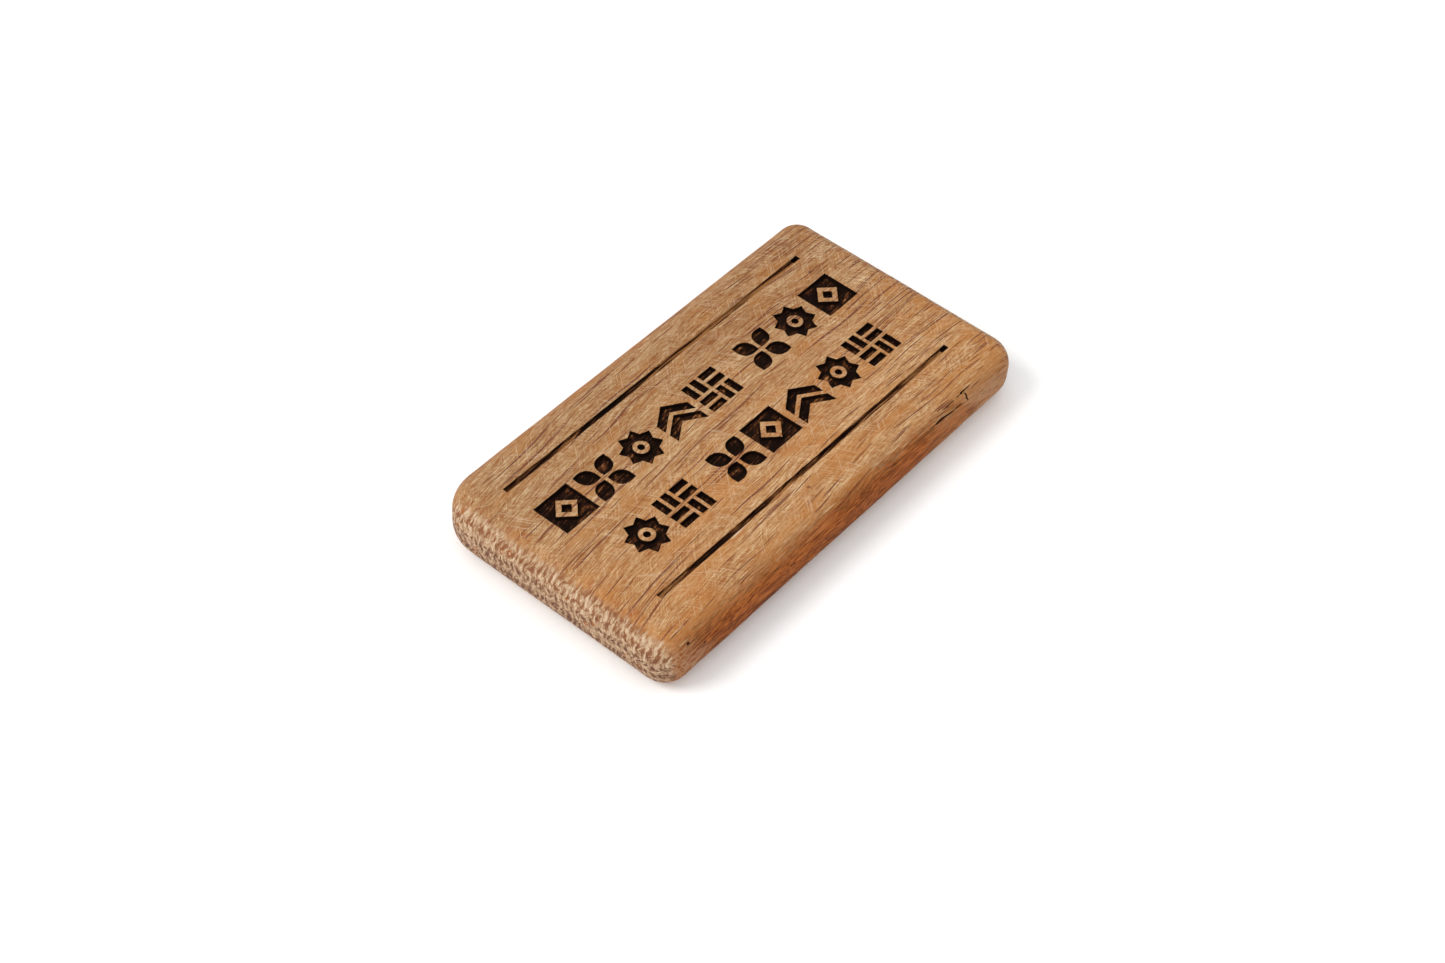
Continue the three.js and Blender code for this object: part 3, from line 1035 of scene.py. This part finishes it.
def char_colour(s, place, fibre, char):
    """Burnt wood: black, with brown and bare streaks where the beam bit less."""
    streaks = s.layered(fibre, 0.32, (1.1, 0.9), (4.2, 1.1), (11.0, 0.5))
    smudges = s.layered(s.pattern(place, (2.6, 1.2, 2.0), (0, 0, 28)), 0.0, (1.0, 0.9), (3.1, 0.7))
    stretches = s.layered(fibre, 0.27, (0.8, 2.6), (4.2, 0.5))
    in_rule = s.step(char, 0.78, 0.66)
    uneven = s.math("MULTIPLY_ADD", in_rule, s.math("SUBTRACT", stretches, smudges), smudges)
    streaks = s.add(streaks, uneven)
    # Walls of the ornaments come out darker: partly char, partly painted shade
    streaks = s.math("SUBTRACT", streaks, s.times(s.step(char, 0.84, 1.0), 0.25))
    colour = s.ramp(streaks, (0.25, CHAR_BLACK), (0.44, CHAR_DARK), (0.6, CHAR_BROWN), (0.8, CHAR_BARE))
    return colour, streaks


def wood_material():
    """Long grain on the faces and sides, cut fibres on the ends, burnt in the engraving."""
    s = Shade("sanded_hardwood")
    place = s.place()
    raw = s.split(place)
    turned_x = round_share(s, raw[0], BLOCK_HIGH.x)
    turned_y = round_share(s, raw[1], BLOCK_HIGH.y)

    # The grain slopes up at the left, down at the right, and drifts a little
    slope = s.times(raw[0], s.math("MULTIPLY_ADD", raw[0], -0.00105, 0.035))
    drift = s.layered(s.pattern(place, (40, 16, 20)), slope, (1.0, 4.5), (4.5, 0.3))
    grain = s.vector("SUBTRACT", place, s.join(0.0, drift, 0.0))
    fibre = s.pattern(grain, (20, 1, 1.6), GROWTH_TILT)

    colour, height = face_grain(s, place, raw, grain, fibre)
    colour = side_grain(s, place, raw, fibre, turned_y, colour)
    end = s.step(s.add(turned_x, s.layered(fibre, 0.0, (2.4, 0.6))), 0.3, 0.66)
    end_colour, end_height = end_grain(s, place, raw)
    colour = s.mix(end, colour, end_colour)
    height = s.add(s.times(height, s.math("SUBTRACT", 1.0, end)), s.times(end_height, end))

    # Char value, with painted shade added on the recess walls
    char = s.attribute("char")
    burnt = s.step(s.add(char, s.layered(fibre, 0.0, (6.0, 0.35))), 0.08, 0.45)
    burnt_colour, streaks = char_colour(s, place, fibre, char)
    colour = s.mix(burnt, colour, burnt_colour)
    height = s.add(height, s.times(s.times(streaks, burnt), 1.4))

    # Painted shade in the open splits and pits on the -Y edge
    colour = s.mix(s.step(s.attribute("split"), 0.12, 0.5), colour, DASH_DARK_AND_SPLIT_SHADE)
    s.put(s.shader.inputs["Base Color"], colour)
    s.put(s.shader.inputs["Roughness"], s.math("MULTIPLY_ADD", burnt, 0.3, 0.55))
    s.shader.inputs["Specular IOR Level"].default_value = 0.05
    s.bump(height, 0.05)
    return s.material


def nickel_material():
    """Bright plating with fine handling scratches and a few duller clouds."""
    s = Shade("nickel_plating")
    place = s.place()
    cloudy = s.layered(s.pattern(place, (3, 3, 3)), 0.5, (1.0, 0.8), (5.0, 0.4))
    lines = 0.0
    for angle in (17, 74, 133):
        lines = s.math("MAXIMUM", lines, s.slivers(s.pattern(place, (7, 0.09, 30), (0, 0, angle)), 0.08))
    colour = s.ramp(cloudy, (0.3, srgb(196, 190, 178)), (0.7, srgb(222, 219, 211)))
    s.put(s.shader.inputs["Base Color"], s.mix(s.times(lines, 0.3), colour, srgb(150, 146, 138)))
    s.shader.inputs["Metallic"].default_value = 1.0
    rough = s.math("MULTIPLY_ADD", cloudy, 0.22, 0.1)
    s.put(s.shader.inputs["Roughness"], s.math("MULTIPLY_ADD", lines, 0.2, rough))
    s.bump(s.math("SUBTRACT", s.times(cloudy, 0.5), lines), 0.006)
    return s.material


def glue_material():
    """Honey-coloured epoxy with paler cloudy places and small bubbles."""
    s = Shade("set_epoxy")
    place = s.place()
    cloudy = s.layered(s.pattern(place, (1.4, 1.4, 1.4)), 0.5, (1.0, 1.2), (3.5, 0.6))
    distance, _ = s.cells(s.pattern(place, (0.5, 0.5, 0.5)))
    bubbles = s.step(distance, 0.25, 0.16)
    colour = s.ramp(cloudy, (0.3, srgb(176, 128, 60)), (0.7, srgb(218, 180, 112)))
    s.put(s.shader.inputs["Base Color"], s.mix(s.times(bubbles, 0.5), colour, srgb(236, 210, 160)))
    s.put(s.shader.inputs["Roughness"], s.math("MULTIPLY_ADD", cloudy, 0.2, 0.16))
    s.bump(s.add(s.times(cloudy, 0.5), bubbles), 0.02)
    return s.material


def add_piece(piece, material, node):
    """Gives a piece its material and puts it in the place of a CAD node."""
    piece.data.materials.append(material)
    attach(piece, "root")
    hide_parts(node)


add_camera()
add_studio()
add_piece(wood_block(), wood_material(), "wood_block")
nickel, epoxy = nickel_material(), glue_material()
for side in ("left", "right"):
    add_piece(disc_magnet(side), nickel, "magnet_" + side)
    add_piece(set_glue(side), epoxy, "adhesive_" + side)
